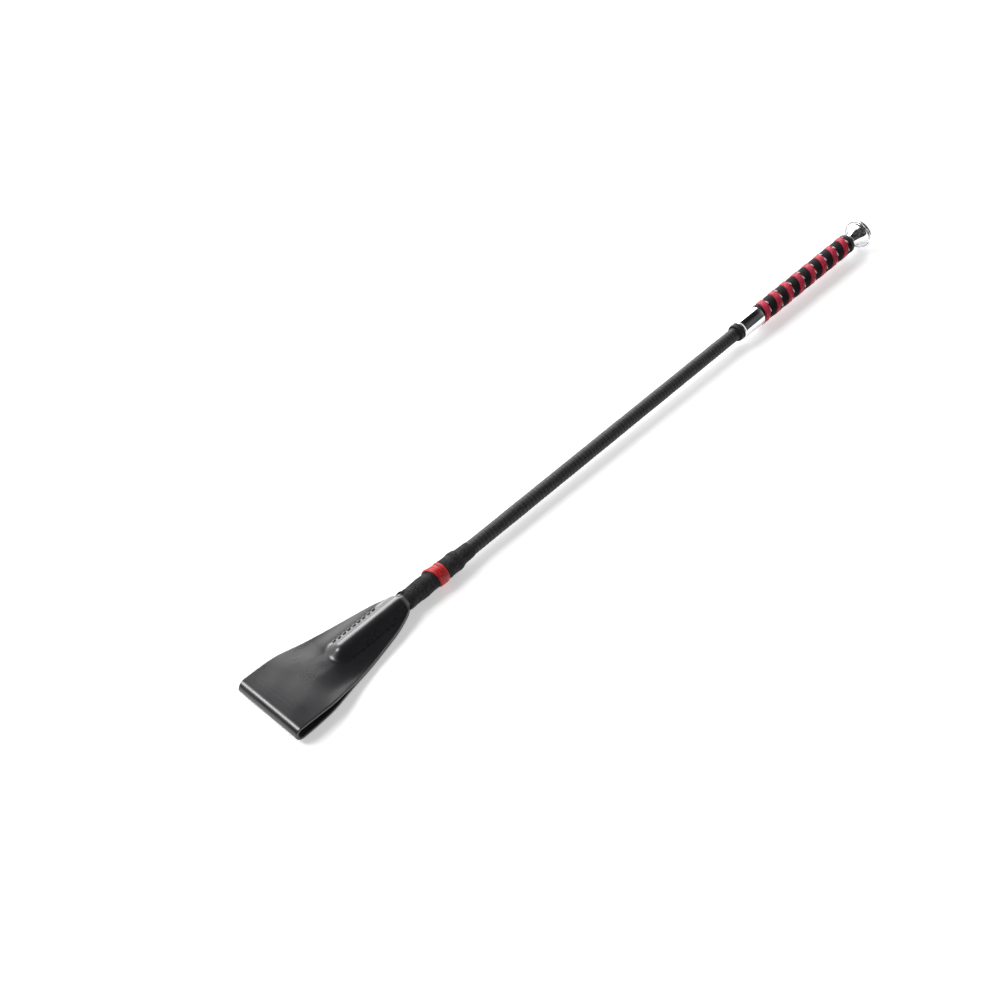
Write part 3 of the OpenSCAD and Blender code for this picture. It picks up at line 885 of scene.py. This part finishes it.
def strap(cad_node, shift, width, cords, rise, slot, seed):
    """A corded tape: parallel twisted cords side by side, trimmed where the grip ends."""
    angle, middle = wind(shift, width / 2)
    low = np.maximum(middle - width / 2, grip_x0)
    high = np.minimum(middle + width / 2, strap_x1)
    per_cord = 9
    t = np.linspace(0, 1, cords * per_cord + 1)
    place = (t * cords) % 1
    index = np.minimum((t * cords).astype(int), cords - 1)
    rib = np.sqrt(np.clip(1 - (2 * place - 1) ** 2, 0, 1))
    rib[-1] = 0
    run = np.abs(angle - angle[0]) * grip_r
    slant = (place - 0.5) * np.where(index % 2, 1.0, -1.0) + index * 0.37
    ply = np.cos(TAU * (run[:, None] / STRAP_LAY + slant[None]))
    crown = 0.16 * MM * (1 - (2 * t - 1) ** 4)
    top = grip_r + rise - 0.62 * MM + rib[None] * (0.5 * MM + 0.045 * MM * ply) + crown[None]
    top = top + 0.05 * MM * wobble(run, 9 * MM, seed)[:, None]
    x = np.clip(middle[:, None] + width * (t[None] - 0.5), low[:, None], high[:, None])
    outer, _ = on_rod(x, top, angle[:, None])
    inner, _ = on_rod(x[:, [-1, 0]], tube_r + 0.06 * MM, angle[:, None])
    rows = np.concatenate([outer, inner], 1)
    across = np.concatenate([t * width, [width, 0]])
    lay = np.stack(np.broadcast_arrays(run[:, None], across[None]), -1)
    in_place_of(build(cad_node + "_tape", [(rows, lay)], slot), cad_node)


def grip():
    """The red and black straps wound side by side, with the cord between them."""
    black = WIND_PITCH - RED_WIDTH - CORD - 3 * SEAM
    behind = (RED_WIDTH + black) / 2 + CORD + 2 * SEAM
    strap("grip_strap_red", 0, RED_WIDTH, 3, 0.18 * MM, "strap_red", 101)
    strap("grip_strap_black", behind, black, 6, -0.16 * MM, "strap_black", 103)
    grip_cord_ply("silver", 0, 0.50 * MM, 0.40, "silver_cord")
    grip_cord_ply("red", 1, 0.38 * MM, 0.2, "strap_red")
    grip_cord_ply("dark", 2, 0.40 * MM, 0.2, "strap_black")


def grip_cord_ply(colour, order, size, pulse, slot):
    """One of the cord's three plies. It swells by pulse where it comes to the top of the cord."""
    angle, x = wind((RED_WIDTH + CORD) / 2 + SEAM, -CORD / 2 - 0.3 * MM, per_turn=400)
    lead = np.abs(angle - angle[0]) * grip_r * TAU / CORD_LAY + order * TAU / 3
    swell = size * (0.98 - pulse + pulse * np.cos(lead))[:, None]
    swing = 0.40 * MM
    r = tube_r + 0.70 * MM + swing * np.cos(lead)
    sheet = thread(x + swing * np.sin(lead), r, angle, swell, twist=1.3 * MM, sides=12, plies=3)
    piece = build("grip_cord_" + colour + "_ply", [sheet], slot)
    if order == 0:
        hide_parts("grip_cord_silver")
    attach(piece, "crop")


def grip_end_band():
    """A black corded ring that closes the windings, ribbed and twisted like a bound edge."""
    x0, x1 = span("grip_end_band")
    inner_r = 5.3 * MM
    tube = tube_r + 0.1 * MM
    wall_x = x1 - 1.5 * MM
    corners = [(x0, tube), (x0, grip_r - 0.1 * MM), (x0 + 1.2 * MM, grip_r + 0.15 * MM), (wall_x, grip_r),
               (x1 - 0.2 * MM, grip_r - 1.6 * MM), (x1, inner_r), (wall_x, inner_r), (wall_x, tube)]
    outline = np.array(rounded(corners, 1.1 * MM, 10))
    run = lengths(outline)
    steps = 420
    angle = np.arange(steps + 1)[:, None] * TAU / steps
    outer_side = smoothstep(grip_r - 2.6 * MM, grip_r - 1.2 * MM, outline[:, 1])
    twists, twist_lay, rib_pitch = 44, 3.4 * MM, 1.45 * MM
    twist = np.cos(angle * twists + run[None] * TAU / twist_lay)
    rib = 0.5 + 0.5 * np.cos(run * TAU / rib_pitch)
    relief = outer_side * (0.055 * MM * (twist - 1) + 0.20 * MM * (rib - 1))
    rows, _ = on_rod(np.broadcast_to(outline[:, 0], relief.shape), outline[:, 1] + relief, angle)
    lay = np.stack(np.broadcast_arrays(angle * grip_r, run[None]), -1)
    piece = weld(build("grip_end_band_rolled", [(rows, lay)], "band_black", caps=False))
    in_place_of(piece, "grip_end_band")


# ---------------------------------------------------------------- stage, light and camera


def floor():
    """A pale table that touches the keeper's belly and the pommel's rim."""
    material, tree, shader = new_material("stage_floor", Roughness=0.6, Specular_IOR_Level=0.25,
                                          Emission_Color=(1, 1, 1, 1), Emission_Strength=0.45)
    tone = node(tree, "TexNoise", {"Vector": object_vector(tree), "Scale": 6, "Detail": 3})
    pale = colour_between(tree, tone.outputs["Fac"], (0.90, 0.90, 0.90), (0.93, 0.93, 0.93))
    tree.links.new(pale, shader.inputs["Base Color"])
    keeper_low = Vector((rod_x + 12 * MM, 0, -ridge_r))
    pommel_low = Vector((cad_high.x - pommel_r, 0, -pommel_r))
    slope = (pommel_low.z - keeper_low.z) / (pommel_low.x - keeper_low.x)
    clearance, half = 0.15 * MM, 6
    corners = []
    for x, y in ((-half, -half), (half, -half), (half, half), (-half, half)):
        corners.append((x, y, keeper_low.z + slope * (x - keeper_low.x) - clearance))
    mesh = bpy.data.meshes.new("stage_floor")
    mesh.from_pydata(corners, [], [(0, 1, 2, 3)])
    mesh.materials.append(material)
    piece = bpy.data.objects.new("stage_floor", mesh)
    bpy.context.scene.collection.objects.link(piece)


def patch(tree, direction, towards, edge, middle, strength=1.0):
    """A round soft patch of light: strength at its middle, nothing outside its edge."""
    axis = Vector(towards).normalized()
    facing = node(tree, "VectorMath", {0: direction, 1: axis}, operation="DOT_PRODUCT").outputs[1]
    ramp = {"Value": facing, "From Min": edge, "From Max": middle, "To Min": 0.0, "To Max": strength}
    return node(tree, "MapRange", ramp, interpolation_type="SMOOTHSTEP").outputs[0]


def both(tree, a, b, operation):
    """Two values joined by a Math node."""
    return node(tree, "Math", {0: a, 1: b}, operation=operation).outputs[0]


def dark_room(tree, direction):
    """1 in the directions where the gloss shows the dark room, and 0 where it shows the tent."""
    above = patch(tree, direction, (0.45, -0.30, 0.84), 0.56, 0.67)
    near_side = patch(tree, direction, (-0.10, -0.75, 0.60), 0.32, 0.52)
    behind_camera = patch(tree, direction, (-0.95, 0.20, 0.25), 0.82, 0.92)
    far_end = patch(tree, direction, (1, 0, 0), 0.72, 0.82)
    room = both(tree, both(tree, above, near_side, "MAXIMUM"), behind_camera, "MAXIMUM")
    return both(tree, room, both(tree, 1.0, far_end, "SUBTRACT"), "MULTIPLY")


def world():
    """A white tent with a bright panel, a narrow strip and a dark room. Only the camera sees the plain
    backdrop."""
    made = bpy.data.worlds.new("studio")
    made.use_nodes = True
    tree = made.node_tree
    tree.nodes.clear()
    direction = node(tree, "TexCoord").outputs["Generated"]
    folds = node(tree, "TexNoise", {"Vector": direction, "Scale": 2.2, "Detail": 2}).outputs["Fac"]
    dim = {"Value": folds, "From Min": 0.35, "From Max": 0.65, "To Min": 0.01, "To Max": 0.10}
    dark_level = node(tree, "MapRange", dim).outputs[0]
    room = dark_room(tree, direction)
    tent = node(tree, "MapRange", {"Value": room, "To Min": TENT_LEVEL, "To Max": dark_level}).outputs[0]
    panel = patch(tree, direction, (0.50, 0.80, 0.34), 0.915, 0.965, 6.0)
    strip = patch(tree, direction, (-0.42, 0.50, 0.76), 0.970, 0.990, 14.0)
    level = both(tree, both(tree, tent, panel, "ADD"), strip, "ADD")
    studio = node(tree, "Background", {"Color": (1, 1, 1, 1), "Strength": level})
    backdrop = node(tree, "Background", {"Color": (1, 1, 1, 1), "Strength": 1.2})
    seen = node(tree, "LightPath").outputs["Is Camera Ray"]
    mixed = node(tree, "MixShader", {0: seen, 1: studio.outputs[0], 2: backdrop.outputs[0]})
    out = node(tree, "OutputWorld")
    tree.links.new(mixed.outputs[0], out.inputs["Surface"])
    bpy.context.scene.world = made


def camera():
    """Looks down along the crop from beyond the keeper, on its near side, as the photograph does."""
    azimuth, elevation, distance = math.radians(-47.7), math.radians(46.6), 0.979
    target = Vector((-0.3396, 0.0151, 0))
    level = math.cos(elevation)
    back = Vector((math.sin(azimuth) * level, -math.cos(azimuth) * level, math.sin(elevation)))
    data = bpy.data.cameras.new("camera")
    data.sensor_width = 36
    data.lens = 52.2
    made = bpy.data.objects.new("camera", data)
    made.location = target + back * distance
    made.rotation_euler = (-back).to_track_quat("-Z", "Y").to_euler()
    bpy.context.scene.collection.objects.link(made)
    bpy.context.scene.camera = made


keeper_leather()
keeper_stitches("keeper_stitches_left")
keeper_stitches("keeper_stitches_right")
whippings()
whipping_tail()
red_band()
braid_sleeve()
braid_rim()
ferrule()
pommel()
grip()
grip_end_band()
floor()
world()
camera()
bpy.context.scene.view_settings.view_transform = "Standard"
